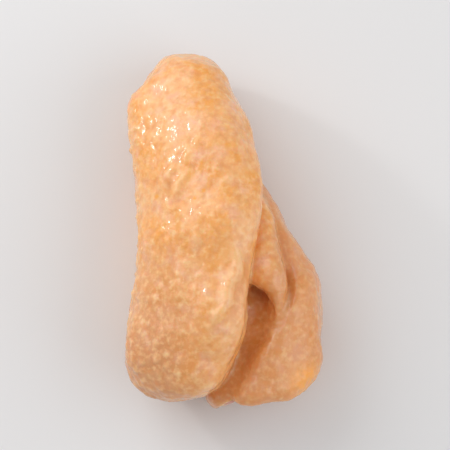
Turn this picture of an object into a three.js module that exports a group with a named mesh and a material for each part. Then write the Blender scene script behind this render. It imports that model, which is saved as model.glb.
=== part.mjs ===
// A raw whole chicken wing, folded the way it is packed: the forearm leans over the upper arm, a web
// of loose skin joins them near the elbow, and the tip is tucked underneath. Millimetres, +Z up.
// The elbow points to +Y, the wrist and the cut shoulder to -Y, and the wing rests on z = 0.
//
// The skin is one closed surface round a field of distances. Each limb is a run of oval sections
// along a curve, soft joins blend them where the skin is continuous, and tight joins leave a crease
// where two limbs only press on each other.

import * as THREE from "three";
import { MarchingCubes } from "three/addons/objects/MarchingCubes.js";
import { mergeVertices } from "three/addons/utils/BufferGeometryUtils.js";

const { lerp, smoothstep, degToRad } = THREE.MathUtils;

// Driving dimensions
const FOREARM_LENGTH = 91; // elbow to wrist, over the skin
const FOREARM_WIDTH = 34; // from the leading edge to the edge that carried the quills
const FOREARM_THICKNESS = 21;
const FOREARM_LEAN = 30; // degrees, quill edge down
const UPPER_ARM_LENGTH = 90; // elbow to the cut at the shoulder
const UPPER_ARM_GIRTH = 31; // at its thickest, near the shoulder
const TIP_WIDTH = 20;
const TIP_THICKNESS = 13;
const THUMB_THICKNESS = 8;
const HEM_THICKNESS = 5.4; // of the rolled skin along the forearm's leading edge
const WEB_WIDTH = 11;
const POCKET_WIDTH = 6;
const FULLNESS = 2.3; // 2 gives oval sections, more gives squarer ones

// How softly two surfaces run into each other
const SKIN_BLEND = 8; // round a joint, where the skin is taut
const CREASE = 3; // where two limbs only touch
const POCKET_RIM = 8;
const CUT_RIM = 6; // of the skin round the cut at the shoulder
const DISH_RIM = 2; // of the dish that the meat sinks back to in the cut
const MEAT_BLEND = 1;
const HEM_BLEND = 3;
const FLAT_RIM = 2; // of the patches that the wing rests on
const SETTLE = 1; // how far soft flesh flattens where it lies on a table

// Slow swelling and dipping of the flesh, up or down
const BROAD_SWELL = 0.4;
const FINE_SWELL = 0.2;

// The grid that the skin is traced on
const GRID = 64; // corners along each side, a power of two so that neighbouring cells agree exactly
const CELL = 2.2;
const LIFT = 22; // height of its middle
const MOST_FACES = 20000;
const EVENING_ROUNDS = 5; // passes that even out the faces

// Ends of the folded limbs
const ELBOW_Y = 36;
const WRIST_Y = ELBOW_Y + 22 - FOREARM_LENGTH;
const SHOULDER_Y = ELBOW_Y + 8 - UPPER_ARM_LENGTH;
const SHOULDER_X = 9.2;
const SHOULDER_Z = 14.5;
const CUT_SLANT = 0.22; // how much sooner the cut comes, for each millimetre towards the outside
const CUT_LEAN = 0.2; // and how much later, for each millimetre upwards

// Where creases turn into taut skin: y towards the elbow, and -y towards the wrist
const TAUT_AT_ELBOW = [ELBOW_Y - 24, ELBOW_Y - 2];
const TAUT_AT_WRIST = [-WRIST_Y - 9, -WRIST_Y + 5];

const STEPS = 24; // straight pieces that a centre line is followed in
const PROBE = 0.05; // how far apart two readings of the distance are, to find its slope

// A limb of oval sections. Each station gives the centre, the half widths towards the leading and
// the trailing edge as shares of width, the half depths of the back and the belly as shares of
// thickness, and the lean of the section in degrees.
function limb(stations, width, thickness, startCap, endCap) {
  const along = (pick) => {
    const points = stations.map((s) => new THREE.Vector3(...pick(s)));
    return new THREE.CatmullRomCurve3(points, false, "catmullrom");
  };
  const centres = along((s) => s.at);
  const widths = along((s) => [s.lead * width, s.trail * width, degToRad(s.lean)]);
  const depths = along((s) => [s.back * thickness, s.belly * thickness, 0]);
  const across = new THREE.Vector3(1, 0, 0);
  const rings = [];
  for (let i = 0; i <= STEPS; i++) {
    const t = i / STEPS;
    const { x: lead, y: trail, z: lean } = widths.getPoint(t);
    const { x: back, y: belly } = depths.getPoint(t);
    const centre = centres.getPoint(t);
    const tangent = centres.getTangent(t);
    const level = across.clone().addScaledVector(tangent, -across.dot(tangent)).normalize();
    const side = level.applyAxisAngle(tangent, lean);
    const up = new THREE.Vector3().crossVectors(tangent, side);
    rings.push({ centre, tangent, side, up, lead, trail, back, belly, cap: lerp(startCap, endCap, t) });
  }

  const point = new THREE.Vector3();
  const nearest = new THREE.Vector3();
  const candidate = new THREE.Vector3();
  const pieces = rings.slice(1).map((ring, i) => new THREE.Line3(rings[i].centre, ring.centre));
  return (x, y, z) => {
    point.set(x, y, z);
    let best = Infinity;
    let piece = 0;
    let s = 0;
    for (let i = 0; i < STEPS; i++) {
      const share = pieces[i].closestPointToPointParameter(point, true);
      const gap = pieces[i].at(share, candidate).distanceToSquared(point);
      if (gap < best) {
        best = gap;
        piece = i;
        s = share;
        nearest.copy(candidate);
      }
    }
    const a = rings[piece];
    const b = rings[piece + 1];
    const offset = point.sub(nearest);
    const u = lerp(offset.dot(a.side), offset.dot(b.side), s);
    const v = lerp(offset.dot(a.up), offset.dot(b.up), s);
    const w = lerp(offset.dot(a.tangent), offset.dot(b.tangent), s);
    const halfWidth = u > 0 ? lerp(a.lead, b.lead, s) : lerp(a.trail, b.trail, s);
    const halfDepth = v > 0 ? lerp(a.back, b.back, s) : lerp(a.belly, b.belly, s);
    return ovalDistance(u, v, w, halfWidth, halfDepth, lerp(a.cap, b.cap, s));
  };
}

// Distance to an oval body with half axes a, b and c, close enough near its surface. FULLNESS sets
// how square its shoulders are.
function ovalDistance(u, v, w, a, b, c) {
  const shares = [Math.abs(u) / a, Math.abs(v) / b, Math.abs(w) / c];
  const total = shares[0] ** FULLNESS + shares[1] ** FULLNESS + shares[2] ** FULLNESS;
  if (total === 0) return -Math.min(a, b, c);
  const reach = total ** (1 / FULLNESS);
  const power = FULLNESS - 1;
  const tilt = (share, half) => (share / reach) ** power / half;
  const slope = Math.sqrt(tilt(shares[0], a) ** 2 + tilt(shares[1], b) ** 2 + tilt(shares[2], c) ** 2);
  return (reach - 1) / slope;
}

function lump([cx, cy, cz], [a, b, c]) {
  return (x, y, z) => ovalDistance(x - cx, y - cy, z - cz, a, b, c);
}

// Union of two distances that rounds the seam over the width k.
function join(p, q, k) {
  const h = Math.max(k - Math.abs(p - q), 0) / k;
  return Math.min(p, q) - (h * h * k) / 4;
}

// What is left of body outside tool, with the rim rounded over the width k.
function carve(body, tool, k) {
  return -join(-body, tool, k);
}

// The forearm, from the elbow down to the wrist.
const forearm = limb(
  [
    { at: [-11.4, ELBOW_Y - 3, 19], lead: 0.38, trail: 0.42, back: 0.5, belly: 0.5, lean: 0.55 },
    { at: [-8.8, 19, 24], lead: 0.5, trail: 0.47, back: 0.53, belly: 0.5, lean: 0.85 },
    { at: [-7, 3, 26.5], lead: 0.5, trail: 0.48, back: 0.52, belly: 0.48, lean: 1 },
    { at: [-7.6, -11, 26.8], lead: 0.42, trail: 0.48, back: 0.49, belly: 0.47, lean: 1.05 },
    { at: [-9.3, -24, 26], lead: 0.46, trail: 0.47, back: 0.48, belly: 0.47, lean: 1.05 },
    { at: [-11.2, WRIST_Y - 1, 24.2], lead: 0.39, trail: 0.42, back: 0.46, belly: 0.46, lean: 0.9 },
  ].map((s) => ({ ...s, lean: s.lean * FOREARM_LEAN })),
  FOREARM_WIDTH,
  FOREARM_THICKNESS,
  7,
  11,
);

// The upper arm, thin at the elbow and thick at the shoulder.
const upperArm = limb(
  [
    { at: [-9, ELBOW_Y - 1, 10], lead: 0.31, trail: 0.32, back: 0.34, belly: 0.34, lean: 0 },
    { at: [-3.5, 16, 11], lead: 0.33, trail: 0.33, back: 0.37, belly: 0.35, lean: 0 },
    { at: [4, -3, 13], lead: 0.41, trail: 0.4, back: 0.44, belly: 0.42, lean: 0 },
    { at: [9.6, -22, 15], lead: 0.51, trail: 0.48, back: 0.47, belly: 0.48, lean: 0 },
    { at: [SHOULDER_X, SHOULDER_Y + 3, SHOULDER_Z], lead: 0.46, trail: 0.46, back: 0.44, belly: 0.47, lean: 0 },
  ],
  UPPER_ARM_GIRTH,
  UPPER_ARM_GIRTH,
  9,
  10,
);

// The rolled skin along the forearm's leading edge.
const hem = limb(
  [
    { at: [3.6, 24, 26.5], lead: 0.36, trail: 0.36, back: 0.36, belly: 0.36, lean: 0 },
    { at: [5.8, 14, 30.5], lead: 0.46, trail: 0.6, back: 0.46, belly: 0.5, lean: 10 },
    { at: [6.4, 3, 33.4], lead: 0.5, trail: 0.7, back: 0.5, belly: 0.5, lean: 10 },
    { at: [3, -8, 34.2], lead: 0.5, trail: 0.7, back: 0.5, belly: 0.5, lean: 10 },
    { at: [1.9, -18, 33.8], lead: 0.5, trail: 0.7, back: 0.5, belly: 0.5, lean: 10 },
    { at: [1.2, -27, 32.2], lead: 0.5, trail: 0.7, back: 0.5, belly: 0.5, lean: 10 },
    { at: [-2, -35, 29.4], lead: 0.36, trail: 0.36, back: 0.36, belly: 0.36, lean: 0 },
  ],
  HEM_THICKNESS,
  HEM_THICKNESS,
  4,
  4,
);

// The tip, from the wrist back under the forearm to its point.
const tip = limb(
  [
    { at: [-12.5, WRIST_Y - 0.5, 18], lead: 0.46, trail: 0.46, back: 0.55, belly: 0.55, lean: -15 },
    { at: [-13, WRIST_Y + 2, 9.5], lead: 0.5, trail: 0.5, back: 0.55, belly: 0.55, lean: -12 },
    { at: [-13, -16, 6.6], lead: 0.5, trail: 0.5, back: 0.5, belly: 0.5, lean: -8 },
    { at: [-14.6, 2, 5.4], lead: 0.39, trail: 0.39, back: 0.42, belly: 0.42, lean: -5 },
    { at: [-16.4, 17, 3.6], lead: 0.17, trail: 0.17, back: 0.26, belly: 0.26, lean: 0 },
  ],
  TIP_WIDTH,
  TIP_THICKNESS,
  6,
  4,
);

// The thumb, a small blunt digit on the outside of the wrist.
const thumb = limb(
  [
    { at: [-19.5, -31, 13], lead: 0.5, trail: 0.5, back: 0.5, belly: 0.5, lean: 0 },
    { at: [-21.6, -21, 10.5], lead: 0.43, trail: 0.43, back: 0.43, belly: 0.43, lean: 0 },
    { at: [-21.4, -11, 8.5], lead: 0.24, trail: 0.24, back: 0.24, belly: 0.24, lean: 0 },
  ],
  THUMB_THICKNESS,
  THUMB_THICKNESS,
  4,
  2.4,
);

// The slack fold of the web, raised along its outer border, between the forearm and the upper arm.
const web = limb(
  [
    { at: [1, 20, 18], lead: 0.3, trail: 0.3, back: 0.3, belly: 0.3, lean: 0 },
    { at: [6, 9, 22], lead: 0.3, trail: 0.5, back: 0.35, belly: 0.5, lean: 10 },
    { at: [8.6, 1.5, 24.6], lead: 0.28, trail: 0.5, back: 0.36, belly: 0.5, lean: 15 },
    { at: [9.6, -5.7, 26], lead: 0.3, trail: 0.55, back: 0.38, belly: 0.45, lean: 18 },
    { at: [11.8, -12.6, 27.8], lead: 0.34, trail: 0.75, back: 0.38, belly: 0.45, lean: 20 },
    { at: [12.4, -18.4, 28.2], lead: 0.34, trail: 0.65, back: 0.38, belly: 0.36, lean: 18 },
    { at: [12.8, -23.4, 27], lead: 0.22, trail: 0.2, back: 0.28, belly: 0.3, lean: 10 },
    { at: [12, -27, 25.4], lead: 0.12, trail: 0.12, back: 0.16, belly: 0.2, lean: 0 },
  ],
  WEB_WIDTH,
  WEB_WIDTH,
  4,
  3,
);

// The pocket under the mouth of that fold, which runs on between the two limbs to the open end.
const pocket = limb(
  [
    { at: [9.4, -18, 24], lead: 0.4, trail: 0.4, back: 0.3, belly: 0.4, lean: 0 },
    { at: [8, -22.5, 26.4], lead: 0.5, trail: 0.6, back: 0.6, belly: 0.65, lean: 15 },
    { at: [5.6, -27.5, 27.4], lead: 0.65, trail: 0.7, back: 0.6, belly: 0.65, lean: 20 },
    { at: [3.2, -33.5, 27.4], lead: 0.6, trail: 0.8, back: 0.7, belly: 0.6, lean: 20 },
    { at: [0.4, -40, 27.6], lead: 0.45, trail: 0.8, back: 0.9, belly: 0.5, lean: 15 },
    { at: [-5, -47, 28], lead: 0.3, trail: 0.8, back: 1, belly: 0.3, lean: 10 },
  ],
  POCKET_WIDTH,
  POCKET_WIDTH,
  3,
  4,
);

const elbowKnob = lump([-10.6, ELBOW_Y + 1.5, 14.5], [7.8, 8.8, 11]);
const wristKnob = lump([-12, WRIST_Y + 0.5, 18.5], [10, 8.5, 10]);
const cutDish = lump([SHOULDER_X, SHOULDER_Y - 1, SHOULDER_Z - 0.5], [9.8, 5, 9.6]);
const cutMuscle = lump([10.8, SHOULDER_Y + 4.4, 13], [7, 3.2, 6.8]);
const jointHead = lump([6.8, SHOULDER_Y + 3.6, 15.5], [4.6, 3.8, 4.4]);

// Slow swelling and dipping of soft flesh.
function unevenness(x, y, z) {
  const broad = Math.sin(x / 4.3 + y / 9.1 + 1) * Math.sin(y / 5.7 - z / 6.1);
  const fine = Math.sin(z / 3.4 + y / 3.9 - x / 5.2);
  return BROAD_SWELL * broad + FINE_SWELL * fine;
}

// Distance to the whole wing, negative inside.
function wing(x, y, z) {
  const nearElbow = smoothstep(y, ...TAUT_AT_ELBOW);
  const nearWrist = smoothstep(-y, ...TAUT_AT_WRIST);
  const cut = y - SHOULDER_Y - CUT_SLANT * (x - SHOULDER_X) + CUT_LEAN * (z - SHOULDER_Z);
  const sleeve = carve(upperArm(x, y, z), cut, CUT_RIM);
  const stump = join(cutMuscle(x, y, z), jointHead(x, y, z), MEAT_BLEND);
  const shoulder = join(carve(sleeve, cutDish(x, y, z), DISH_RIM), stump, MEAT_BLEND);
  const draped = join(shoulder, web(x, y, z), CREASE);
  const lower = carve(draped, pocket(x, y, z), POCKET_RIM);
  const edged = join(forearm(x, y, z), hem(x, y, z), HEM_BLEND);
  const elbow = join(edged, elbowKnob(x, y, z), SKIN_BLEND);
  const wrist = join(elbow, wristKnob(x, y, z), SKIN_BLEND);
  const tucked = join(wrist, tip(x, y, z), lerp(CREASE, SKIN_BLEND, nearWrist));
  const folded = join(tucked, lower, lerp(CREASE, SKIN_BLEND, nearElbow));
  const whole = join(folded, thumb(x, y, z), CREASE);
  return carve(whole + unevenness(x, y, z), z - SETTLE, FLAT_RIM);
}

// Slides each point towards the middle of its neighbours and back to the surface, so that the faces
// come out even.
function relax(points, faces, rounds) {
  const neighbours = points.map(() => new Set());
  for (let i = 0; i < faces.length; i += 3)
    for (let n = 0; n < 3; n++) {
      neighbours[faces[i + n]].add(faces[i + ((n + 1) % 3)]);
      neighbours[faces[i + n]].add(faces[i + ((n + 2) % 3)]);
    }
  for (let round = 0; round < rounds; round++) {
    const moved = points.map((point, n) => {
      const middle = new THREE.Vector3();
      neighbours[n].forEach((m) => middle.addScaledVector(points[m], 1 / neighbours[n].size));
      const place = point.clone().lerp(middle, 0.5);
      const { x, y, z } = place;
      const here = wing(x, y, z);
      const slope = new THREE.Vector3(
        wing(x + PROBE, y, z) - here,
        wing(x, y + PROBE, z) - here,
        wing(x, y, z + PROBE) - here,
      ).divideScalar(PROBE);
      return place.addScaledVector(slope, -here / Math.max(slope.lengthSq(), 0.3));
    });
    moved.forEach((place, n) => points[n].copy(place));
  }
}

// Traces the skin, evens out its faces, centres it over the origin and stands it on z = 0.
function skinGeometry() {
  const tracer = new MarchingCubes(GRID, undefined, false, false, MOST_FACES);
  tracer.isolation = 0;
  const half = (GRID * CELL) / 2;
  for (let k = 0; k < GRID; k++)
    for (let j = 0; j < GRID; j++)
      for (let i = 0; i < GRID; i++)
        tracer.setCell(i, j, k, -wing(i * CELL - half, j * CELL - half, k * CELL - half + LIFT));
  tracer.update();
  const traced = new THREE.BufferGeometry();
  const corners = tracer.positionArray.slice(0, tracer.count * 3);
  traced.setAttribute("position", new THREE.BufferAttribute(corners, 3));
  const geometry = mergeVertices(traced.scale(half, half, half).translate(0, 0, LIFT), 1e-5);
  const position = geometry.attributes.position;
  const points = Array.from({ length: position.count }, (_, n) =>
    new THREE.Vector3().fromBufferAttribute(position, n),
  );
  relax(points, geometry.index.array, EVENING_ROUNDS);
  points.forEach((point, n) => position.setXYZ(n, ...point));
  geometry.computeBoundingBox();
  const { min, max } = geometry.boundingBox;
  geometry.translate(-(min.x + max.x) / 2, -(min.y + max.y) / 2, -min.z);
  geometry.computeVertexNormals();
  return geometry;
}

const skinMaterial = new THREE.MeshStandardMaterial({ color: 0xf0b47a, roughness: 0.4, metalness: 0 });
const chickenWing = new THREE.Mesh(skinGeometry(), skinMaterial);
chickenWing.name = "chicken_wing";

const part = new THREE.Group();
part.add(chickenWing);

export default part;
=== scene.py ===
"""A raw whole chicken wing, folded at the elbow and the wrist, on a pale table under soft light.

The wing is one mesh. It is traced from a field of distances round the limbs, at about half a
millimetre, and then gets the relief of its skin: swellings, streaks, wrinkles, quill bumps, goose
bumps and pebbling. Lengths are millimetres until the mesh is made, and Blender's are metres.
"""

import math

import bpy
import numpy as np
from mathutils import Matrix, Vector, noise
from mathutils.kdtree import KDTree


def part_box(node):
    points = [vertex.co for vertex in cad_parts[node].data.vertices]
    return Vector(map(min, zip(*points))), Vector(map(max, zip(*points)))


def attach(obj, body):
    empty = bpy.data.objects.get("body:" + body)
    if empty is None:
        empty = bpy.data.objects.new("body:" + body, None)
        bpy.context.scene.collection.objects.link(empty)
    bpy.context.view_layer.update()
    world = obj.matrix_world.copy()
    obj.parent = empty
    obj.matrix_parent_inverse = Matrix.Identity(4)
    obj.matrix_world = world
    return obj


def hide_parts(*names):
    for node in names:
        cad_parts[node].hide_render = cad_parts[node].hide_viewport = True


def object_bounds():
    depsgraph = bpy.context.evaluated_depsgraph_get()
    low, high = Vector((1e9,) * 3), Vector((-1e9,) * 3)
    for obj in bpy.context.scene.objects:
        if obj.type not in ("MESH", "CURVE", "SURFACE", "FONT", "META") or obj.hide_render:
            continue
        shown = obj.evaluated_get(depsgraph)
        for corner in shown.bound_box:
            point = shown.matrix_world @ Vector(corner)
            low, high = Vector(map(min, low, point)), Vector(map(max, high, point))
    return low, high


MM = 0.001
TINY = 1e-9  # keeps a division by zero away

# The limbs, as in the solid that the wing stands for
FOREARM_LENGTH = 91.0  # elbow to wrist, over the skin
FOREARM_WIDTH = 34.0  # from the leading edge to the edge that carried the quills
FOREARM_THICKNESS = 21.0
FOREARM_LEAN = 30.0  # degrees, quill edge down
UPPER_ARM_LENGTH = 90.0  # elbow to the cut at the shoulder
UPPER_ARM_GIRTH = 31.0  # at its thickest, near the shoulder
TIP_WIDTH = 20.0
TIP_THICKNESS = 13.0
THUMB_THICKNESS = 8.0
HEM_THICKNESS = 5.4  # of the rolled skin along the forearm's leading edge
WEB_WIDTH = 11.0
POCKET_WIDTH = 6.0
GROOVE_WIDTH = 2.6  # of the narrow crease along the web's outer border
FULLNESS = 2.3  # 2 gives oval sections, more gives squarer ones

# How softly two surfaces run into each other
SKIN_BLEND = 8.0  # round a joint, where the skin is taut
CREASE = 1.2  # where two limbs only touch
POCKET_RIM = 8.0
GROOVE_RIM = 1.0
CUT_RIM = 6.0  # of the skin round the cut at the shoulder
DISH_RIM = 2.0  # of the dish that the meat sinks back to in the cut
MEAT_BLEND = 1.0
HEM_BLEND = 3.0
FLAT_RIM = 2.0  # of the patches that the wing rests on
SETTLE = 1.0  # how far soft flesh flattens where it lies on a table

# Slow swelling and dipping of the flesh, up or down
BROAD_SWELL = 0.4
FINE_SWELL = 0.2

# Ends of the folded limbs
ELBOW_Y = 36.0
WRIST_Y = ELBOW_Y + 22 - FOREARM_LENGTH
SHOULDER_Y = ELBOW_Y + 8 - UPPER_ARM_LENGTH
SHOULDER_X = 9.2
SHOULDER_Z = 14.5
CUT_SLANT = 0.22  # how much sooner the cut comes, for each millimetre towards the outside
CUT_LEAN = 0.2  # and how much later, for each millimetre upwards

# Where creases turn into taut skin: y towards the elbow, and -y towards the wrist
TAUT_AT_ELBOW = (ELBOW_Y - 24, ELBOW_Y - 2)
TAUT_AT_WRIST = (-WRIST_Y - 9, -WRIST_Y + 5)

STEPS = 24  # straight pieces that a centre line is followed in
PROBE = 0.05  # how far apart two readings of the distance are, to find its slope

# The grid that the skin is traced on
CELL = 0.46
LOW_CORNER = (-30.0, -52.0, -1.0)
HIGH_CORNER = (32.0, 52.0, 44.0)
COARSE_STEP = 3  # cells along each side of a block of the coarse grid
EXACT_BAND = 1.2  # blocks on either side of the surface where the field is worked out exactly
CHUNK = 60000  # points that the field is worked out for at a time
RELAX_ROUNDS = 2
LEAST_SLOPE_SQUARED = 0.3  # keeps a point from jumping where the field is nearly level

# Broad relief of the skin: heights and sizes of swellings, streaks along a limb and creases round it
BROAD_LUMP_HEIGHT = 0.4
BROAD_LUMP_SIZE = 11.0
SMALL_LUMP_HEIGHT = 0.16
SMALL_LUMP_SIZE = 5.0
STREAK_HEIGHT = 0.16
STREAK_LENGTH = 9.0
STREAK_WIDTH = 2.4
CROSS_CREASE_HEIGHT = 0.14
CROSS_CREASE_LENGTH = 9.0
ELBOW_CREASE_WIDTH = 2.6
UPPER_ARM_CREASE_WIDTH = 2.8

# Ridges of slack skin on the forearm, seen from above: start, end, half width and height
WRINKLES = [
    ((-15.8, 15.0), (-14.6, 18.8), 0.9, 0.45),
    ((-10.8, 13.4), (-9.2, 16.4), 0.8, 0.35),
    ((-14.8, 9.0), (-12.8, 13.0), 0.8, 0.45),
    ((-12.6, 4.6), (-10.0, 10.4), 1.0, 0.6),
    ((-7.8, 17.5), (-6.9, 20.1), 0.8, 0.3),
    ((2.2, -8.5), (1.0, -18.5), 1.3, 1.0),
    ((0.2, -17.0), (-2.1, -27.0), 1.3, 1.0),
    ((-7.5, -4.5), (-8.2, -9.5), 0.9, 0.3),
    ((-4.5, -20), (-3.8, -30), 1.2, 0.35),
]
WRINKLE_RISE = (-0.25, 0.3)  # where a ridge begins and is full, as shares of its length
WRINKLE_FALL = (1.25, 0.7)  # and where it ends and was last full
WRINKLE_BEND = 0.12  # how far a ridge bows, as a share of its length
TROUGH_DEPTH = 0.4  # of the groove beside a ridge, as a share of its height
TROUGH_OFFSET = 1.9  # and its distance from the ridge, in half widths
# The paling of a ridge is a painted highlight, and its trough is darkened as painted shade.
WRINKLE_IN_COLOUR = 0.5  # share of a ridge's height that also pales the skin

# Rows of quill bumps along the forearm's trailing edge: degrees from the leading edge over the back,
# half size and height
QUILL_ROWS = [(172, 1.8, 0.4), (154, 1.6, 0.5), (137, 1.2, 0.32)]
QUILLS_IN_A_ROW = 17
QUILL_START = 0.08  # of a row, as a share of the limb
QUILL_SPAN = 0.86
QUILL_LENGTH = 0.6  # along the limb, as a share of the width across it
QUILL_TURN_SPREAD = 8  # degrees
QUILL_SIZES = (0.6, 1.3)  # smallest and largest, as shares of the row's
QUILL_HEIGHTS = (0.3, 1.3)

# Goose bumps, which grow coarser in x towards the trailing edge and in y towards the wrist
GOOSE_SPACING = 2.9
GOOSE_SIZE = (0.55, 0.8)
GOOSE_SIZE_GAIN = 0.12
GOOSE_HEIGHT = 0.1
GOOSE_HEIGHT_GAIN = 0.09
GOOSE_HEIGHTS = (0.4, 1)  # lowest and highest, as shares of the height there
GOOSE_WIDTHS = (0.8, 1.2)  # as shares of the length
COARSER_X = (-4, -22)
COARSER_Y = (-2, -32)

BUMP_REACH = 2.2  # half sizes of a bump that it is worked out over
OFF_SKIN = 2.0  # a bump whose place is farther from the skin is left out

# Pebbling and grain of the skin, and the bundles of fibres in the cut. An edge is the share of a
# cell's size over which its border slopes.
PEBBLE_HEIGHT = 0.05
PEBBLE_SIZE = 2.0
PEBBLE_EDGE = 0.35
PEBBLE_MEAN = 0.6
PEBBLE_WARP = 0.5
PEBBLE_WARP_SIZE = 1.5
GRAIN_HEIGHT = 0.06
GRAIN_SIZE = 1.6
FIBRE_HEIGHT = 0.3
FIBRE_SIZE = 2.6
FIBRE_EDGE = 0.3
FIBRE_STRETCH = (1, 0.3, 1)
FIBRE_IN_COLOUR = 0.3
FIBRE_GRAIN_HEIGHT = 0.14
FIBRE_GRAIN_SIZE = 1.3
CUT_UNEVENNESS = 0.25
CUT_UNEVENNESS_SIZE = 3.0
# Rises of the fine relief are paled as painted highlight and its dips darkened as painted shade in the
# skin's colour; in the cut its dips are paler seams.
FULLY_RAISED = 0.2  # height of fine relief that counts as 1 in the skin's colour

# Zones of the skin: where each begins and where it is full, along an axis or in distance from a part
STREAKS_Y = (6, -16)
ELBOW_CREASES_Y = (24, 38)
UPPER_ARM_CREASES_X = (6, 12)
UPPER_ARM_CREASES_Y = (4, -14)
# Painted shade: the skin darker and pinker towards the wrist and the trailing edge
ROSY_SHADE_X = (2, -18)
ROSY_SHADE_Y = (2, -34)
WRINKLES_UPWARD = (0.15, 0.5)  # how much the skin faces up, from 0 to 1
WRINKLES_Z = (18, 22)
SPOTS_Z = (24, 27)
# Painted highlight: a paler band along the top of the hem at the forearm's leading edge
HEM_HIGHLIGHT_Z = (26, 30)
HEM_HIGHLIGHT_Y = (6, -20)
HEM_HIGHLIGHT_OFF_HEM = (4, 0)
# Painted shade: the upper arm, which lies lower under the forearm, made darker
UPPER_ARM_SHADE_OFF_FOREARM = (0, 4)
RELIEF_Z = (SETTLE + 0.1, SETTLE + 1.6)
FIBRES_OFF_DISH = (0.6, 0)
RIM_OFF_DISH = (1.4, 1)
MEAT_OFF_DISH = (0.7, 0.4)
BONE_OFF_HEAD = (0.7, 0.4)

# Yellow fat under the skin: the corner near the shoulder, and small spots seen from above
FAT_CORNER = np.array([20.5, -41.5, 20.5])
FAT_CORNER_SIZE = np.array([7.0, 6.5, 8.5])
FAT_CORNER_FADE = (1.2, 0.5)
FAT_SPOTS = [((-17.7, 5.3), 0.6), ((-5.7, 6.0), 0.6), ((-8.0, 4.0), 0.5), ((-16.4, -3.9), 1.1)]
FAT_SPOT_FADE = (1.3, 0.6)

# Colours, as linear light
PEACH = (0.94, 0.46, 0.165, 1)
YELLOW = (0.90, 0.38, 0.07, 1)
PINK = (0.89, 0.46, 0.28, 1)
# CREAM is the skin's speckle, and also the painted highlight on rises of the fine relief
CREAM = (0.97, 0.60, 0.28, 1)
# painted highlight along the top of the hem
HEM_HIGHLIGHT = (0.93, 0.49, 0.22, 1)
# DEEP is random mottle, and also the painted shade in dips of the fine relief
DEEP = (0.76, 0.28, 0.07, 1)
# painted shade, darker and pinker, towards the wrist and the trailing edge
ROSY_SHADE = (0.66, 0.28, 0.11, 1)
# painted shade on the upper arm under the forearm
UPPER_ARM_SHADE = (0.60, 0.21, 0.055, 1)
FAT = (0.94, 0.38, 0.045, 1)
RIM = (0.90, 0.65, 0.40, 1)
MEAT = (0.58, 0.19, 0.13, 1)
MEAT_PALE = (0.72, 0.32, 0.23, 1)
SEAM = (0.84, 0.56, 0.42, 1)
BONE = (0.86, 0.74, 0.60, 1)
GRISTLE = (0.74, 0.62, 0.58, 1)
TABLE_COLOUR = (0.78, 0.78, 0.79, 1)

# How the skin and the table take the light. Depths are millimetres.
SUBSURFACE_SHARE = 0.25
SUBSURFACE_DEPTH = 2.0
WET_ROUGHNESS = 0.1
PORE_DEPTH = 0.25
PORE_STRENGTH = 0.5
WET_DEPTH = 0.5
WET_STRENGTH = 0.8
TABLE_ROUGHNESS = 0.6

# The studio, in metres: the table, the camera, and each light's place from the wing's centre, size,
# power and colour
TABLE_HALF = 2.0
LENS = 200  # millimetres, as is the sensor
SENSOR_WIDTH = 36
CAMERA_ELEVATION = 80
CAMERA_DISTANCE = 0.65
WORLD_LIGHT = 0.56
LIGHTS = {
    "key": ((-0.32, 0.28, 0.32), 0.5, 1.25, (1, 0.98, 0.96)),
    "glint": ((-0.4, 0.22, 0.21), 0.05, 0.35, (1, 0.99, 0.98)),
    "fill": ((0.4, -0.1, 0.28), 0.5, 0.9, (1, 0.99, 0.98)),
}


def lerp(a, b, s):
    """The value at the share s of the way from a to b."""
    return a + (b - a) * s


def share_between(x, start, full):
    """How far x has come from start to full, from 0 to 1. Start may be the larger of the two."""
    return np.clip((x - start) / (full - start), 0, 1)


def smoothstep(x, start, full):
    """The same share, eased at both ends."""
    s = share_between(x, start, full)
    return s * s * (3 - 2 * s)


def spline(points, t):
    """Places and slopes at the shares t along a uniform Catmull-Rom curve through points."""
    points = np.array(points, float)
    padded = np.vstack([2 * points[0] - points[1], points, 2 * points[-1] - points[-2]])
    place = t * (len(points) - 1)
    first = np.minimum(place.astype(int), len(points) - 2)
    s = (place - first)[:, None]
    before, start, end, after = (padded[first + i] for i in range(4))
    slope_in = (end - before) / 2
    slope_out = (after - start) / 2
    square = -3 * start + 3 * end - 2 * slope_in - slope_out
    cube = 2 * start - 2 * end + slope_in + slope_out
    places = start + slope_in * s + square * s**2 + cube * s**3
    slopes = slope_in + 2 * square * s + 3 * cube * s**2
    return places, slopes


def oval_distance(u, v, w, a, b, c):
    """Distance to an oval body with half axes a, b and c, close enough near its surface."""
    shares = np.abs(u) / a, np.abs(v) / b, np.abs(w) / c
    reach = sum(share**FULLNESS for share in shares) ** (1 / FULLNESS) + TINY
    power = FULLNESS - 1
    slope = np.sqrt(sum(((share / reach) ** power / half) ** 2 for share, half in zip(shares, (a, b, c))))
    return (reach - 1) / slope


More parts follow.
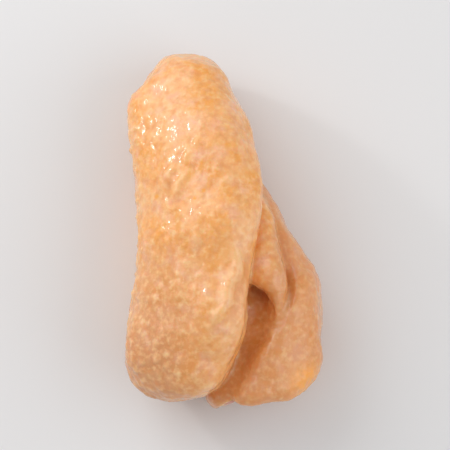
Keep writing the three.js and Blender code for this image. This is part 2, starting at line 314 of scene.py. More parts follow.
class Limb:
    """A run of oval sections. Each station holds the centre, the half widths towards the leading and
    trailing edges as shares of width, the half depths of back and belly as shares of thickness, and
    the lean in degrees. The caps say how far the two ends bulge."""

    def __init__(self, stations, width, thickness, start_cap, end_cap):
        t = np.linspace(0, 1, STEPS + 1)
        self.centres, slopes = spline([s[0] for s in stations], t)
        self.tangents = slopes / np.linalg.norm(slopes, axis=1, keepdims=True)
        scale = [width, width, thickness, thickness, math.radians(1)]
        self.sizes, _ = spline([s[1:] for s in stations], t)
        self.sizes = self.sizes * scale
        self.caps = lerp(start_cap, end_cap, t)
        across = np.array([1.0, 0.0, 0.0])
        level = across - self.tangents * (self.tangents @ across)[:, None]
        level /= np.linalg.norm(level, axis=1, keepdims=True)
        lean = self.sizes[:, 4:5]
        self.sides = level * np.cos(lean) + np.cross(self.tangents, level) * np.sin(lean)
        self.ups = np.cross(self.tangents, self.sides)

    def locate(self, points):
        """For each point, the piece of the centre line it is nearest to, the share along that piece,
        and its offsets towards the leading edge, the back and the far end."""
        best = np.full(len(points), np.inf)
        piece = np.zeros(len(points), int)
        share = np.zeros(len(points))
        for i in range(STEPS):
            run = self.centres[i + 1] - self.centres[i]
            offset = points - self.centres[i]
            s = np.clip(offset @ run / (run @ run), 0, 1)
            gap = np.einsum("ij,ij->i", offset, offset) - 2 * s * (offset @ run) + s * s * (run @ run)
            nearer = gap < best
            best[nearer] = gap[nearer]
            piece[nearer] = i
            share[nearer] = s[nearer]
        s = share[:, None]
        offset = points - lerp(self.centres[piece], self.centres[piece + 1], s)
        axes = (lerp(axis[piece], axis[piece + 1], s) for axis in (self.sides, self.ups, self.tangents))
        u, v, w = (np.einsum("ij,ij->i", offset, axis) for axis in axes)
        return piece, share, u, v, w

    def __call__(self, points):
        """Distance to the limb, negative inside."""
        piece, share, u, v, w = self.locate(points)
        sizes = lerp(self.sizes[piece], self.sizes[piece + 1], share[:, None])
        half_width = np.where(u > 0, sizes[:, 0], sizes[:, 1])
        half_depth = np.where(v > 0, sizes[:, 2], sizes[:, 3])
        cap = lerp(self.caps[piece], self.caps[piece + 1], share)
        return oval_distance(u, v, w, half_width, half_depth, cap)


def lump(centre, halves):
    """Distance to a single oval body, given its centre and half axes."""
    return lambda points: oval_distance(*(points - np.array(centre)).T, *halves)


def join(p, q, k):
    """Union of two distances that rounds the seam over the width k."""
    h = np.maximum(k - np.abs(p - q), 0) / k
    return np.minimum(p, q) - h * h * k / 4


def carve(body, tool, k):
    """What is left of body outside tool, with the rim rounded over the width k."""
    return -join(-body, tool, k)


forearm = Limb(
    [
        ([-11.4, ELBOW_Y - 3, 19], 0.38, 0.42, 0.5, 0.5, 0.55 * FOREARM_LEAN),
        ([-8.8, 19, 24], 0.5, 0.47, 0.53, 0.5, 0.85 * FOREARM_LEAN),
        ([-7, 3, 26.5], 0.5, 0.48, 0.52, 0.48, 1 * FOREARM_LEAN),
        ([-7.6, -11, 26.8], 0.42, 0.48, 0.49, 0.47, 1.05 * FOREARM_LEAN),
        ([-9.3, -24, 26], 0.46, 0.47, 0.48, 0.47, 1.05 * FOREARM_LEAN),
        ([-11.2, WRIST_Y - 1, 24.2], 0.39, 0.42, 0.46, 0.46, 0.9 * FOREARM_LEAN),
    ],
    width=FOREARM_WIDTH,
    thickness=FOREARM_THICKNESS,
    start_cap=7,
    end_cap=11,
)
upper_arm = Limb(
    [
        ([-9, ELBOW_Y - 1, 10], 0.31, 0.32, 0.34, 0.34, 0),
        ([-3.5, 16, 11], 0.33, 0.33, 0.37, 0.35, 0),
        ([4, -3, 13], 0.41, 0.4, 0.44, 0.42, 0),
        ([9.6, -22, 15], 0.51, 0.48, 0.47, 0.48, 0),
        ([SHOULDER_X, SHOULDER_Y + 3, SHOULDER_Z], 0.46, 0.46, 0.44, 0.47, 0),
    ],
    width=UPPER_ARM_GIRTH,
    thickness=UPPER_ARM_GIRTH,
    start_cap=9,
    end_cap=10,
)
hem = Limb(
    [
        ([3.6, 24, 26.5], 0.36, 0.36, 0.36, 0.36, 0),
        ([5.8, 14, 30.5], 0.46, 0.6, 0.46, 0.5, 10),
        ([6.4, 3, 33.4], 0.5, 0.7, 0.5, 0.5, 10),
        ([3, -8, 34.2], 0.5, 0.7, 0.5, 0.5, 10),
        ([1.9, -18, 33.8], 0.5, 0.7, 0.5, 0.5, 10),
        ([1.2, -27, 32.2], 0.5, 0.7, 0.5, 0.5, 10),
        ([-2, -35, 29.4], 0.36, 0.36, 0.36, 0.36, 0),
    ],
    width=HEM_THICKNESS,
    thickness=HEM_THICKNESS,
    start_cap=4,
    end_cap=4,
)
tip = Limb(
    [
        ([-12.5, WRIST_Y - 0.5, 18], 0.46, 0.46, 0.55, 0.55, -15),
        ([-13, WRIST_Y + 2, 9.5], 0.5, 0.5, 0.55, 0.55, -12),
        ([-13, -16, 6.6], 0.5, 0.5, 0.5, 0.5, -8),
        ([-14.6, 2, 5.4], 0.39, 0.39, 0.42, 0.42, -5),
        ([-16.4, 17, 3.6], 0.17, 0.17, 0.26, 0.26, 0),
    ],
    width=TIP_WIDTH,
    thickness=TIP_THICKNESS,
    start_cap=6,
    end_cap=4,
)
thumb = Limb(
    [
        ([-19.5, -31, 13], 0.5, 0.5, 0.5, 0.5, 0),
        ([-21.6, -21, 10.5], 0.43, 0.43, 0.43, 0.43, 0),
        ([-21.4, -11, 8.5], 0.24, 0.24, 0.24, 0.24, 0),
    ],
    width=THUMB_THICKNESS,
    thickness=THUMB_THICKNESS,
    start_cap=4,
    end_cap=2.4,
)
web = Limb(
    [
        ([1, 20, 18], 0.3, 0.3, 0.3, 0.3, 0),
        ([6, 9, 22], 0.3, 0.5, 0.35, 0.5, 10),
        ([8.6, 1.5, 24.6], 0.28, 0.5, 0.36, 0.5, 15),
        ([9.6, -5.7, 26], 0.3, 0.55, 0.38, 0.45, 18),
        ([11.8, -12.6, 27.8], 0.34, 0.75, 0.38, 0.45, 20),
        ([12.4, -18.4, 28.2], 0.34, 0.65, 0.38, 0.36, 18),
        ([12.8, -23.4, 27], 0.22, 0.2, 0.28, 0.3, 10),
        ([12, -27, 25.4], 0.12, 0.12, 0.16, 0.2, 0),
    ],
    width=WEB_WIDTH,
    thickness=WEB_WIDTH,
    start_cap=4,
    end_cap=3,
)
pocket = Limb(
    [
        ([9.4, -18, 24], 0.4, 0.4, 0.3, 0.4, 0),
        ([8, -22.5, 26.4], 0.5, 0.6, 0.6, 0.65, 15),
        ([5.6, -27.5, 27.4], 0.65, 0.7, 0.6, 0.65, 20),
        ([3.2, -33.5, 27.4], 0.6, 0.8, 0.7, 0.6, 20),
        ([0.4, -40, 27.6], 0.45, 0.8, 0.9, 0.5, 15),
        ([-5, -47, 28], 0.3, 0.8, 1, 0.3, 10),
    ],
    width=POCKET_WIDTH,
    thickness=POCKET_WIDTH,
    start_cap=3,
    end_cap=4,
)
groove = Limb(
    [
        ([9.6, 14, 21], 0.6, 0.5, 0.5, 0.4, 0),
        ([11.2, 6, 23.2], 1.0, 0.5, 0.6, 0.5, 0),
        ([12.4, -2, 24.8], 1.1, 0.6, 0.8, 0.5, 0),
        ([14.8, -9.6, 26.2], 0.9, 0.7, 0.9, 0.5, 0),
        ([16.2, -16.4, 27.4], 0.7, 0.7, 0.9, 0.55, 0),
        ([15.6, -21, 28.6], 0.6, 0.6, 0.8, 0.45, 0),
        ([13.8, -25, 29.4], 0.6, 0.5, 0.6, 0.4, 0),
    ],
    width=GROOVE_WIDTH,
    thickness=GROOVE_WIDTH,
    start_cap=3,
    end_cap=3,
)
elbow_knob = lump([-10.6, ELBOW_Y + 1.5, 14.5], [7.8, 8.8, 11])
wrist_knob = lump([-12, WRIST_Y + 0.5, 18.5], [10, 8.5, 10])
cut_dish = lump([SHOULDER_X, SHOULDER_Y - 1, SHOULDER_Z - 0.5], [9.8, 5, 9.6])
cut_muscle = lump([10.8, SHOULDER_Y + 4.4, 13], [7, 3.2, 6.8])
joint_head = lump([6.8, SHOULDER_Y + 3.6, 15.5], [4.6, 3.8, 4.4])


def unevenness(points):
    """Slow swelling and dipping of soft flesh."""
    x, y, z = points.T
    broad = np.sin(x / 4.3 + y / 9.1 + 1) * np.sin(y / 5.7 - z / 6.1)
    fine = np.sin(z / 3.4 + y / 3.9 - x / 5.2)
    return BROAD_SWELL * broad + FINE_SWELL * fine


def wing_distance(points):
    """Distance to the whole wing, negative inside."""
    x, y, z = points.T
    near_elbow = smoothstep(y, *TAUT_AT_ELBOW)
    near_wrist = smoothstep(-y, *TAUT_AT_WRIST)
    cut = y - SHOULDER_Y - CUT_SLANT * (x - SHOULDER_X) + CUT_LEAN * (z - SHOULDER_Z)
    sleeve = carve(upper_arm(points), cut, CUT_RIM)
    stump = join(cut_muscle(points), joint_head(points), MEAT_BLEND)
    shoulder = join(carve(sleeve, cut_dish(points), DISH_RIM), stump, MEAT_BLEND)
    grooved = carve(shoulder, groove(points), CREASE)
    draped = join(grooved, web(points), GROOVE_RIM)
    lower = carve(draped, pocket(points), POCKET_RIM)
    edged = join(forearm(points), hem(points), HEM_BLEND)
    elbow = join(edged, elbow_knob(points), SKIN_BLEND)
    wrist = join(elbow, wrist_knob(points), SKIN_BLEND)
    tucked = join(wrist, tip(points), lerp(CREASE, SKIN_BLEND, near_wrist))
    folded = join(tucked, lower, lerp(CREASE, SKIN_BLEND, near_elbow))
    whole = join(folded, thumb(points), CREASE)
    return carve(whole + unevenness(points), z - SETTLE, FLAT_RIM)


def in_chunks(field, points):
    """The field at the points, worked out for a limited number of them at a time."""
    return np.concatenate([field(points[i : i + CHUNK]) for i in range(0, len(points), CHUNK)])


def sample_field(field, low, count, cell):
    """The field on a grid, exact near the surface and interpolated from a coarse grid elsewhere."""
    coarse_count = [math.ceil((n - 1) / COARSE_STEP) + 1 for n in count]
    ranges = (np.arange(n) for n in coarse_count)
    corners = np.stack(np.meshgrid(*ranges, indexing="ij"), -1).reshape(-1, 3)
    fine = in_chunks(field, np.array(low) + corners * cell * COARSE_STEP).reshape(coarse_count)
    for axis in range(3):
        place = np.arange(count[axis]) / COARSE_STEP
        first = np.minimum(place.astype(int), coarse_count[axis] - 2)
        shape = [1, 1, 1]
        shape[axis] = -1
        share = (place - first).reshape(shape)
        fine = lerp(np.take(fine, first, axis), np.take(fine, first + 1, axis), share)
    near = np.argwhere(np.abs(fine) < EXACT_BAND * cell * COARSE_STEP)
    fine[tuple(near.T)] = in_chunks(field, np.array(low) + near * cell)
    return fine


def cell_points(value, low, cell):
    """A point in each cell that the surface crosses, at the mean of the crossings of its edges, and
    the number of that point for each cell."""
    cells = tuple(n - 1 for n in value.shape)
    total = np.zeros(cells + (3,))
    crossings = np.zeros(cells)
    for axis in range(3):
        others = [a for a in range(3) if a != axis]
        low_part = [slice(None)] * 3
        high_part = [slice(None)] * 3
        low_part[axis] = slice(0, -1)
        high_part[axis] = slice(1, None)
        start, end = value[tuple(low_part)], value[tuple(high_part)]
        crossed = (start < 0) != (end < 0)
        share = np.where(crossed, start / np.where(crossed, start - end, 1), 0)
        for n in (0, 1):
            for m in (0, 1):
                part = [slice(None)] * 3
                part[others[0]] = slice(n, n + cells[others[0]])
                part[others[1]] = slice(m, m + cells[others[1]])
                hit = crossed[tuple(part)]
                crossings += hit
                total[..., axis] += share[tuple(part)]
                total[..., others[0]] += n * hit
                total[..., others[1]] += m * hit
    used = np.argwhere(crossings > 0)
    index = np.full(cells, -1)
    index[tuple(used.T)] = np.arange(len(used))
    middle = total[tuple(used.T)] / crossings[tuple(used.T)][:, None]
    return np.array(low) + (used + middle) * cell, index


def edge_quads(value, index):
    """A quad round each grid edge that the surface crosses, between the points of the four cells
    that share the edge, facing outwards."""
    inside = value < 0
    quads = []
    for axis in range(3):
        p, q = (axis + 1) % 3, (axis + 2) % 3
        part = [slice(1, -1)] * 3
        beyond = list(part)
        beyond[axis] = slice(2, None)
        here, there = inside[tuple(part)], inside[tuple(beyond)]
        edges = np.argwhere(here != there) + 1
        outward = here[tuple((edges - 1).T)]
        back_p, back_q = np.eye(3, dtype=int)[p], np.eye(3, dtype=int)[q]
        ring = [edges - back_p - back_q, edges - back_q, edges, edges - back_p]
        ring = np.stack([index[tuple(corner.T)] for corner in ring], 1)
        quads.append(np.where(outward[:, None], ring, ring[:, ::-1]))
    return np.concatenate(quads)


def gradient(field, points):
    """The field at the points, and its slope there."""
    here = in_chunks(field, points)
    slope = np.stack([in_chunks(field, points + PROBE * step) - here for step in np.eye(3)], 1) / PROBE
    return here, slope


def relax(points, quads):
    """Slides each point towards the middle of its neighbours and back to the surface."""
    starts = quads.ravel()
    ends = np.roll(quads, -1, 1).ravel()
    edges = np.concatenate([np.stack([starts, ends], 1), np.stack([ends, starts], 1)])
    number = np.bincount(edges[:, 0], minlength=len(points))[:, None]
    for _ in range(RELAX_ROUNDS):
        totals = [np.bincount(edges[:, 0], column[edges[:, 1]], len(points)) for column in points.T]
        place = (points + np.stack(totals, 1) / number) / 2
        here, slope = gradient(wing_distance, place)
        slope_squared = np.maximum((slope**2).sum(1), LEAST_SLOPE_SQUARED)
        points = place - slope * (here / slope_squared)[:, None]
    return points


def trace_wing():
    """The wing's surface before its relief: points, and the four corners of each face."""
    count = [math.ceil((high - low) / CELL) + 1 for low, high in zip(LOW_CORNER, HIGH_CORNER)]
    value = sample_field(wing_distance, LOW_CORNER, count, CELL)
    points, index = cell_points(value, LOW_CORNER, CELL)
    quads = edge_quads(value, index)
    return relax(points, quads), quads


def smooth_noise(points, size, seed):
    """Random swelling, mostly between -1 and 1, with lumps of about the given size."""
    period = 64
    gain = 1.6
    random = np.random.default_rng(seed)
    table = random.uniform(-1, 1, (period, period, period))
    place = points / size + random.uniform(0, period, 3)
    first = np.floor(place).astype(int)
    s = place - first
    s = s * s * s * (s * (6 * s - 15) + 10)
    total = np.zeros(len(points))
    for corner in np.ndindex(2, 2, 2):
        cell = (first + corner) % period
        weight = np.prod(np.where(np.array(corner) == 1, s, 1 - s), axis=1)
        total += weight * table[tuple(cell.T)]
    return gain * total


def limb_noise(limb, points, along, around, seed):
    """Random streaks that follow a limb, stretched by the lengths along it and around it."""
    piece, share, u, v, _ = limb.locate(points)
    run = np.linalg.norm(limb.centres[-1] - limb.centres[0]) / STEPS
    girth = (limb.sizes[:, :4].mean() + 1) * np.arctan2(v, u)
    place = np.stack([(piece + share) * run / along, girth / around, np.zeros(len(points))], 1)
    return smooth_noise(place, 1, seed)


def cell_edges(points, size):
    """How near each point is to the edge of its cell in a random honeycomb: 0 on the edge."""
    gaps = [noise.voronoi(point)[0][:2] for point in (points / size).tolist()]
    return np.array([second - first for first, second in gaps])


class Skin:
    """The traced skin: its points, the way each faces, and how high its relief stands there. The
    fine part of the relief is kept apart too, because it also shows in the colour: as painted
    highlight on the skin's rises and painted shade in its dips, and as paler seams in the cut."""

    def __init__(self, points):
        self.points = points
        _, slope = gradient(wing_distance, points)
        self.normals = slope / np.linalg.norm(slope, axis=1, keepdims=True)
        self.height = np.zeros(len(points))
        self.fine = np.zeros(len(points))
        self.tree = KDTree(len(points))
        for n, point in enumerate(points):
            self.tree.insert(point, n)
        self.tree.balance()

    def bump(self, place, along, length, width, height):
        """One soft bump on the skin nearest to place, with its half length along a direction."""
        _, index, gap = self.tree.find(place)
        if gap > OFF_SKIN:
            return
        normal = self.normals[index]
        reach = BUMP_REACH * max(length, width)
        near = np.array([n for _, n, _ in self.tree.find_range(self.points[index], reach)])
        offset = self.points[near] - self.points[index]
        along = along - normal * (along @ normal)
        along = along / (np.linalg.norm(along) + TINY)
        across = np.cross(normal, along)
        spread = (offset @ along / length) ** 2 + (offset @ across / width) ** 2
        facing = np.clip(self.normals[near] @ normal, 0, 1)
        raised = height * np.exp(-spread) * facing
        self.height[near] += raised
        self.fine[near] += raised

    def spread_places(self, spacing, random):
        """Points of the skin in a random order, no two nearer than the spacing."""
        free = np.ones(len(self.points), bool)
        for index in random.permutation(len(self.points)):
            if free[index]:
                free[[n for _, n, _ in self.tree.find_range(self.points[index], spacing)]] = False
                yield index


def place_on(limb, t, turn):
    """A point on a limb's section at the share t, turned in degrees from the leading edge over the
    back, and the direction of the limb there."""
    first = min(int(t * STEPS), STEPS - 1)
    s = t * STEPS - first
    lead, trail, back, belly, _ = lerp(limb.sizes[first], limb.sizes[first + 1], s)
    angle = math.radians(turn)
    width = (lead if math.cos(angle) > 0 else trail) * math.cos(angle)
    depth = (back if math.sin(angle) > 0 else belly) * math.sin(angle)
    centre = lerp(limb.centres[first], limb.centres[first + 1], s)
    return centre + limb.sides[first] * width + limb.ups[first] * depth, limb.tangents[first]


def quill_row(skin, limb, turn, size, height, random):
    """A row of the bumps that the quills grew from, each longer across the limb than along it."""
    for n in range(QUILLS_IN_A_ROW):
        t = QUILL_START + QUILL_SPAN * (n + random.uniform(-0.5, 0.5)) / (QUILLS_IN_A_ROW - 1)
        spread = random.uniform(-QUILL_TURN_SPREAD, QUILL_TURN_SPREAD)
        place, tangent = place_on(limb, t, turn + spread)
        width = size * random.uniform(*QUILL_SIZES)
        skin.bump(place, tangent, QUILL_LENGTH * width, width, height * random.uniform(*QUILL_HEIGHTS))


def goose_bumps(skin, random):
    """Small bumps all over, larger towards the trailing edge and the wrist."""
    for index in skin.spread_places(GOOSE_SPACING, random):
        place = skin.points[index]
        coarse = share_between(place[0], *COARSER_X) + share_between(place[1], *COARSER_Y)
        size = random.uniform(*GOOSE_SIZE) + GOOSE_SIZE_GAIN * coarse
        height = random.uniform(*GOOSE_HEIGHTS) * (GOOSE_HEIGHT + GOOSE_HEIGHT_GAIN * coarse)
        along = random.normal(size=3)
        skin.bump(place, along, size, size * random.uniform(*GOOSE_WIDTHS), height)


def wrinkle(skin, start, end, width, height):
    """A ridge of skin seen from above between two places, with a shallow groove on its far side."""
    start, end = np.array(start), np.array(end)
    run = end - start
    length = np.linalg.norm(run)
    run = run / length
    offset = skin.points[:, :2] - start
    along = offset @ run / length
    bend = WRINKLE_BEND * length * np.sin(np.pi * np.clip(along, 0, 1))
    across = (offset @ np.array([-run[1], run[0]]) - bend) / width
    ends = smoothstep(along, *WRINKLE_RISE) * smoothstep(along, *WRINKLE_FALL)
    top = smoothstep(skin.normals[:, 2], *WRINKLES_UPWARD) * smoothstep(skin.points[:, 2], *WRINKLES_Z)
    ridge = np.exp(-(across**2)) - TROUGH_DEPTH * np.exp(-((across - TROUGH_OFFSET) ** 2))
    raised = height * ridge * ends * top
    skin.height += raised
    skin.fine += WRINKLE_IN_COLOUR * raised


def swell(skin):
    """Swellings all over, streaks along the forearm, and creases round the elbow and the upper arm."""
    points = skin.points
    x, y, _ = points.T
    broad = BROAD_LUMP_HEIGHT * smooth_noise(points, BROAD_LUMP_SIZE, seed=1)
    small = SMALL_LUMP_HEIGHT * smooth_noise(points, SMALL_LUMP_SIZE, seed=2)
    skin.height += broad + small

    streaks = limb_noise(forearm, points, STREAK_LENGTH, STREAK_WIDTH, seed=3)
    skin.height += STREAK_HEIGHT * smoothstep(y, *STREAKS_Y) * streaks
    creases = limb_noise(forearm, points, ELBOW_CREASE_WIDTH, CROSS_CREASE_LENGTH, seed=4)
    skin.height += CROSS_CREASE_HEIGHT * smoothstep(y, *ELBOW_CREASES_Y) * creases
    creases = limb_noise(upper_arm, points, UPPER_ARM_CREASE_WIDTH, CROSS_CREASE_LENGTH, seed=5)
    zone = smoothstep(x, *UPPER_ARM_CREASES_X) * smoothstep(y, *UPPER_ARM_CREASES_Y)
    skin.height += CROSS_CREASE_HEIGHT * zone * creases


def pebble(skin):
    """The small uneven cells of the skin's surface, and a finer grain."""
    points = skin.points
    warped = points + PEBBLE_WARP * smooth_noise(points, PEBBLE_WARP_SIZE, seed=6)[:, None]
    pebbles = smoothstep(cell_edges(warped, PEBBLE_SIZE), 0, PEBBLE_EDGE) - PEBBLE_MEAN
    pebbling = GRAIN_HEIGHT * smooth_noise(points, GRAIN_SIZE, seed=8) + PEBBLE_HEIGHT * pebbles
    skin.height += pebbling
    skin.fine += pebbling


def on_bone(points):
    """How surely each place of the cut is on the head of the joint, from 0 to 1."""
    return smoothstep(joint_head(points) + unevenness(points), *BONE_OFF_HEAD)


def face_cut(skin):
    """Bundles of fibres in place of the skin's relief on the cut's meat, and none on the bone."""
    points = skin.points
    in_cut = smoothstep(cut_dish(points), *FIBRES_OFF_DISH)
    bundles = smoothstep(cell_edges(points * FIBRE_STRETCH, FIBRE_SIZE), 0, FIBRE_EDGE) - 1
    grain = FIBRE_GRAIN_HEIGHT * smooth_noise(points, FIBRE_GRAIN_SIZE, seed=9)
    fibres = FIBRE_HEIGHT * bundles + grain
    skin.height = lerp(skin.height, fibres * (1 - on_bone(points)), in_cut)
    skin.fine = lerp(skin.fine, FIBRE_IN_COLOUR * fibres, in_cut)


def raise_relief(skin):
    """The relief of the skin, from broad swellings down to pebbling, and of the cut."""
    random = np.random.default_rng(7)
    swell(skin)
    for start, end, width, height in WRINKLES:
        wrinkle(skin, start, end, width, height)
    for turn, size, height in QUILL_ROWS:
        quill_row(skin, forearm, turn, size, height, random)
    goose_bumps(skin, random)
    pebble(skin)
    face_cut(skin)
    skin.height *= smoothstep(skin.points[:, 2], *RELIEF_Z)


def fat_marks(points):
    """Where yellow fat shows through the skin, from 0 to 1."""
    x, y, z = points.T
    corner = np.linalg.norm((points - FAT_CORNER) / FAT_CORNER_SIZE, axis=1)
    fat = smoothstep(corner, *FAT_CORNER_FADE)
    for centre, size in FAT_SPOTS:
        gap = np.hypot(x - centre[0], y - centre[1]) / size
        fat = np.maximum(fat, smoothstep(gap, *FAT_SPOT_FADE) * smoothstep(z, *SPOTS_Z))
    return fat


def colour_marks(skin):
    """How strongly each point of the skin has each colour of the material, most from 0 to 1."""
    points = skin.points
    x, y, z = points.T
    off_dish = cut_dish(points) + CUT_UNEVENNESS * smooth_noise(points, CUT_UNEVENNESS_SIZE, seed=12)
    near_hem = smoothstep(hem(points), *HEM_HIGHLIGHT_OFF_HEM)
    return {
        # painted shade towards the wrist and the trailing edge
        "rosy_shade": smoothstep(y, *ROSY_SHADE_Y) * smoothstep(x, *ROSY_SHADE_X),
        # painted shade on the upper arm under the forearm
        "upper_arm_shade": smoothstep(forearm(points) - upper_arm(points), *UPPER_ARM_SHADE_OFF_FOREARM),
        # painted highlight along the top of the hem
        "pale": near_hem * smoothstep(z, *HEM_HIGHLIGHT_Z) * smoothstep(y, *HEM_HIGHLIGHT_Y),
        "fat": fat_marks(points),
        # fine relief: painted highlight on rises and painted shade in dips of the skin, paler seams in
        # the cut
        "raised": skin.fine / FULLY_RAISED,
        "rim": smoothstep(off_dish, *RIM_OFF_DISH),
        "meat": smoothstep(off_dish, *MEAT_OFF_DISH),
        "bone": on_bone(points),
    }


def shift_to_frame(points):
    """How far the traced skin moves to stand where the solid stands."""
    low, high = (np.array(corner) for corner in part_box("chicken_wing"))
    shift = (low + high) / 2 / MM - (points.min(0) + points.max(0)) / 2
    shift[2] = low[2] / MM - points[:, 2].min()
    return shift


def make_wing(material):
    """The dressed wing, in place of the plain solid."""
    points, quads = trace_wing()
    skin = Skin(points)
    raise_relief(skin)
    shaped = points + skin.normals * skin.height[:, None]
    mesh = bpy.data.meshes.new("wing_skin")
    mesh.from_pydata(((shaped + shift_to_frame(points)) * MM).tolist(), [], quads.tolist())
    mesh.shade_smooth()
    for name, values in colour_marks(skin).items():
        mesh.attributes.new(name, "FLOAT", "POINT").data.foreach_set("value", values.astype(np.float32))
    mesh.materials.append(material)
    wing = bpy.data.objects.new("wing_skin", mesh)
    bpy.context.collection.objects.link(wing)
    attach(wing, "root")
    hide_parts("chicken_wing")


class Nodes:
    """Short calls for building a material's nodes."""

    def __init__(self, material):
        self.tree = material.node_tree
        self.place = self.add("ShaderNodeTexCoord").outputs["Object"]

    def add(self, kind, **settings):
        node = self.tree.nodes.new(kind)
        for name, value in settings.items():
            setattr(node, name, value)
        return node

    def link(self, source, socket):
        """Sets the socket to a number or colour, or links it to another node's output."""
        if isinstance(source, (int, float, tuple)):
            socket.default_value = source
        else:
            self.tree.links.new(source, socket)

    def noise(self, size, detail=2, roughness=0.5, stretch=None):
        """Noise with lumps of about the given size in millimetres, around 0.5."""
        node = self.add("ShaderNodeTexNoise")
        node.inputs["Scale"].default_value = 1 / (size * MM)
        node.inputs["Detail"].default_value = detail
        node.inputs["Roughness"].default_value = roughness
        place = self.place
        if stretch:
            mapping = self.add("ShaderNodeMapping")
            mapping.inputs["Scale"].default_value = stretch
            self.link(place, mapping.inputs["Vector"])
            place = mapping.outputs["Vector"]
        self.link(place, node.inputs["Vector"])
        return node.outputs["Fac"]

    def mark(self, name):
        """A mark that the mesh holds for each of its points."""
        return self.add("ShaderNodeAttribute", attribute_name=name).outputs["Fac"]

    def ramp(self, value, low, high, to_low=0.0, to_high=1.0):
        """The value's range from low to high, stretched and clamped to a new range."""
        node = self.add("ShaderNodeMapRange")
        limits = {"From Min": low, "From Max": high, "To Min": to_low, "To Max": to_high}
        for socket, number in limits.items():
            node.inputs[socket].default_value = number
        self.link(value, node.inputs["Value"])
        return node.outputs["Result"]

    def math(self, operation, a, b):
        """Two values added, multiplied and so on."""
        node = self.add("ShaderNodeMath", operation=operation)
        self.link(a, node.inputs[0])
        self.link(b, node.inputs[1])
        return node.outputs["Value"]

    def mix(self, share, a, b):
        """Colour a where the share is 0, and b where it is 1."""
        node = self.add("ShaderNodeMix", data_type="RGBA")
        self.link(share, node.inputs["Factor"])
        self.link(a, node.inputs["A"])
        self.link(b, node.inputs["B"])
        return node.outputs["Result"]

    def mottle(self, colour, tint, size, detail, low, high, most=1.0):
        """The colour with patches of a tint, none where noise is below low and most above high."""
        return self.mix(self.ramp(self.noise(size, detail), low, high, to_high=most), colour, tint)

    def tinge(self, colour, tint, mark, most):
        """The colour with a tint where the mesh has a mark, up to the share most."""
        return self.mix(self.ramp(self.mark(mark), 0, 1, to_high=most), colour, tint)

    def bump(self, height, strength, depth):
        """A normal bumped by a height, with its full depth in millimetres."""
        node = self.add("ShaderNodeBump")
        node.inputs["Strength"].default_value = strength
        node.inputs["Distance"].default_value = depth * MM
        self.link(height, node.inputs["Height"])
        return node.outputs["Normal"]


def skin_colour(nodes):
    """Peach skin, mottled with yellow and pink, with painted highlight on its bumps and painted shade
    in its grooves, painted shade towards the wrist and on the upper arm, and painted highlight
    along the top of the hem.
    """
    colour = nodes.mottle(PEACH, YELLOW, size=10, detail=3, low=0.42, high=0.6)
    colour = nodes.mottle(colour, PINK, size=4.5, detail=3, low=0.5, high=0.68, most=0.75)
    # painted shade: darker and pinker towards the wrist and the trailing edge
    colour = nodes.tinge(colour, ROSY_SHADE, "rosy_shade", most=0.85)
    grain = nodes.noise(size=1.4)
    colour = nodes.mix(nodes.ramp(grain, 0.45, 0.75, to_high=0.5), colour, CREAM)
    # painted shade on the upper arm under the forearm
    colour = nodes.tinge(colour, UPPER_ARM_SHADE, "upper_arm_shade", most=0.6)
    colour = nodes.mix(nodes.ramp(grain, 0.48, 0.75, to_high=0.35), colour, CREAM)
    # painted highlight along the top of the hem
    colour = nodes.tinge(colour, HEM_HIGHLIGHT, "pale", most=0.6)
    raised = nodes.mark("raised")
    # painted highlight on the rises of the fine relief
    colour = nodes.mix(nodes.ramp(raised, 0.1, 1.4, to_high=0.5), colour, CREAM)
    # painted shade in the dips of the fine relief
    colour = nodes.mix(nodes.ramp(raised, -0.05, -0.7, to_high=0.6), colour, DEEP)
    colour = nodes.mottle(colour, DEEP, size=1.9, detail=2, low=0.48, high=0.75, most=0.55)
    lobules = nodes.ramp(nodes.noise(size=2.4, detail=3), 0.38, 0.58, to_low=0.5)
    return nodes.mix(nodes.math("MULTIPLY", nodes.mark("fat"), lobules), colour, FAT)


def cut_colour(nodes, colour):
    """The cut at the shoulder: a rim of pale fat, pink meat with paler seams, and the bone's end."""
    colour = nodes.mix(nodes.mark("rim"), colour, RIM)
    grain = nodes.noise(size=1.6, detail=3, roughness=0.6, stretch=(1, 0.4, 1))
    meat = nodes.mix(nodes.ramp(grain, 0.35, 0.7), MEAT, MEAT_PALE)
    sunk = nodes.ramp(nodes.mark("raised"), -0.15, -0.45, to_high=0.35)
    meat = nodes.mix(sunk, meat, SEAM)
    colour = nodes.mix(nodes.mark("meat"), colour, meat)
    bone = nodes.mottle(BONE, GRISTLE, size=2.5, detail=2, low=0.4, high=0.65)
    return nodes.mix(nodes.mark("bone"), colour, bone)


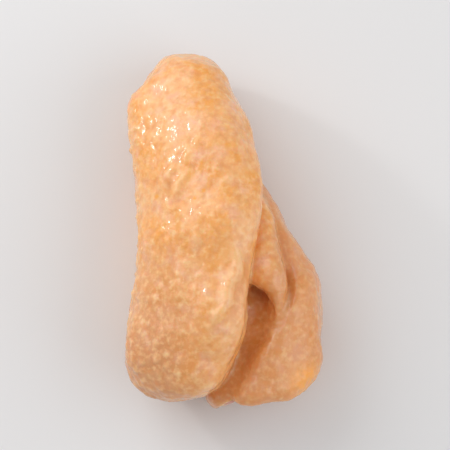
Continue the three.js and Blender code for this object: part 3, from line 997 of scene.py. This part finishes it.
def skin_material():
    """Moist skin that light sinks into, with pores, and a wet film that lies in patches."""
    material = bpy.data.materials.new("raw_skin")
    material.use_nodes = True
    nodes = Nodes(material)
    shader = material.node_tree.nodes["Principled BSDF"].inputs
    nodes.link(cut_colour(nodes, skin_colour(nodes)), shader["Base Color"])
    roughness = nodes.ramp(nodes.noise(size=3.5, detail=3), 0.3, 0.7, to_low=0.36, to_high=0.52)
    nodes.link(roughness, shader["Roughness"])
    shader["Subsurface Weight"].default_value = SUBSURFACE_SHARE
    shader["Subsurface Scale"].default_value = SUBSURFACE_DEPTH * MM
    fine_pores = nodes.math("MULTIPLY", nodes.noise(size=0.35), 0.4)
    pores = nodes.math("ADD", nodes.noise(size=0.9, detail=4, roughness=0.65), fine_pores)
    nodes.link(nodes.bump(pores, PORE_STRENGTH, PORE_DEPTH), shader["Normal"])
    wetness = nodes.ramp(nodes.noise(size=7), 0.38, 0.62, to_low=0.4)
    nodes.link(wetness, shader["Coat Weight"])
    shader["Coat Roughness"].default_value = WET_ROUGHNESS
    film = nodes.noise(size=2.0, roughness=0.45, stretch=(1, 0.5, 1))
    nodes.link(nodes.bump(film, WET_STRENGTH, WET_DEPTH), shader["Coat Normal"])
    return material


def make_table():
    """A plain pale surface under the wing."""
    mesh = bpy.data.meshes.new("table")
    signs = ((-1, -1), (1, -1), (1, 1), (-1, 1))
    mesh.from_pydata([(x * TABLE_HALF, y * TABLE_HALF, 0) for x, y in signs], [], [(0, 1, 2, 3)])
    material = bpy.data.materials.new("table_pale")
    material.use_nodes = True
    shader = material.node_tree.nodes["Principled BSDF"].inputs
    shader["Base Color"].default_value = TABLE_COLOUR
    shader["Roughness"].default_value = TABLE_ROUGHNESS
    mesh.materials.append(material)
    table = bpy.data.objects.new("table", mesh)
    bpy.context.collection.objects.link(table)


def aim(obj, place, target):
    """Puts a camera or light at a place, looking at the target."""
    obj.location = place
    direction = np.array(target) - np.array(place)
    yaw = math.atan2(direction[0], direction[1])
    pitch = math.atan2(direction[2], math.hypot(direction[0], direction[1]))
    obj.rotation_euler = (math.pi / 2 + pitch, 0, -yaw)


def make_camera(centre):
    """Looks steeply down on the wing from its cut end, with the elbow at the top of the picture."""
    data = bpy.data.cameras.new("camera")
    data.lens = LENS
    data.sensor_width = SENSOR_WIDTH
    camera = bpy.data.objects.new("camera", data)
    bpy.context.collection.objects.link(camera)
    bpy.context.scene.camera = camera
    elevation = math.radians(CAMERA_ELEVATION)
    offset = np.array([0, -math.cos(elevation), math.sin(elevation)]) * CAMERA_DISTANCE
    aim(camera, centre + offset, centre)


def make_light(name, offset, size, power, colour, centre):
    """A square soft box that faces the wing."""
    data = bpy.data.lights.new(name, "AREA")
    data.shape = "SQUARE"
    data.size = size
    data.energy = power
    data.color = colour
    light = bpy.data.objects.new(name, data)
    bpy.context.collection.objects.link(light)
    aim(light, centre + np.array(offset), centre)


def make_world():
    """Even white light from all round."""
    world = bpy.data.worlds.new("studio")
    bpy.context.scene.world = world
    world.use_nodes = True
    background = world.node_tree.nodes["Background"].inputs
    background["Color"].default_value = (1, 1, 1, 1)
    background["Strength"].default_value = WORLD_LIGHT


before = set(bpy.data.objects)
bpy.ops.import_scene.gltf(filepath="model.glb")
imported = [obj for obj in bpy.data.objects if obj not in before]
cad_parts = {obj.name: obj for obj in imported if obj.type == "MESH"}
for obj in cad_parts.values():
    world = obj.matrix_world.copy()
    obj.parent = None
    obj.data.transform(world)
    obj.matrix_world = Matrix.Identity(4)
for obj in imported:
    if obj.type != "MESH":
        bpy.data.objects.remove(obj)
cad_low, cad_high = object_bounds()
centre = (np.array(cad_low) + np.array(cad_high)) / 2

make_camera(centre)
make_world()
for name, (offset, size, power, colour) in LIGHTS.items():
    make_light(name, offset, size, power, colour, centre)
make_table()
make_wing(skin_material())
bpy.context.scene.view_settings.view_transform = "Standard"
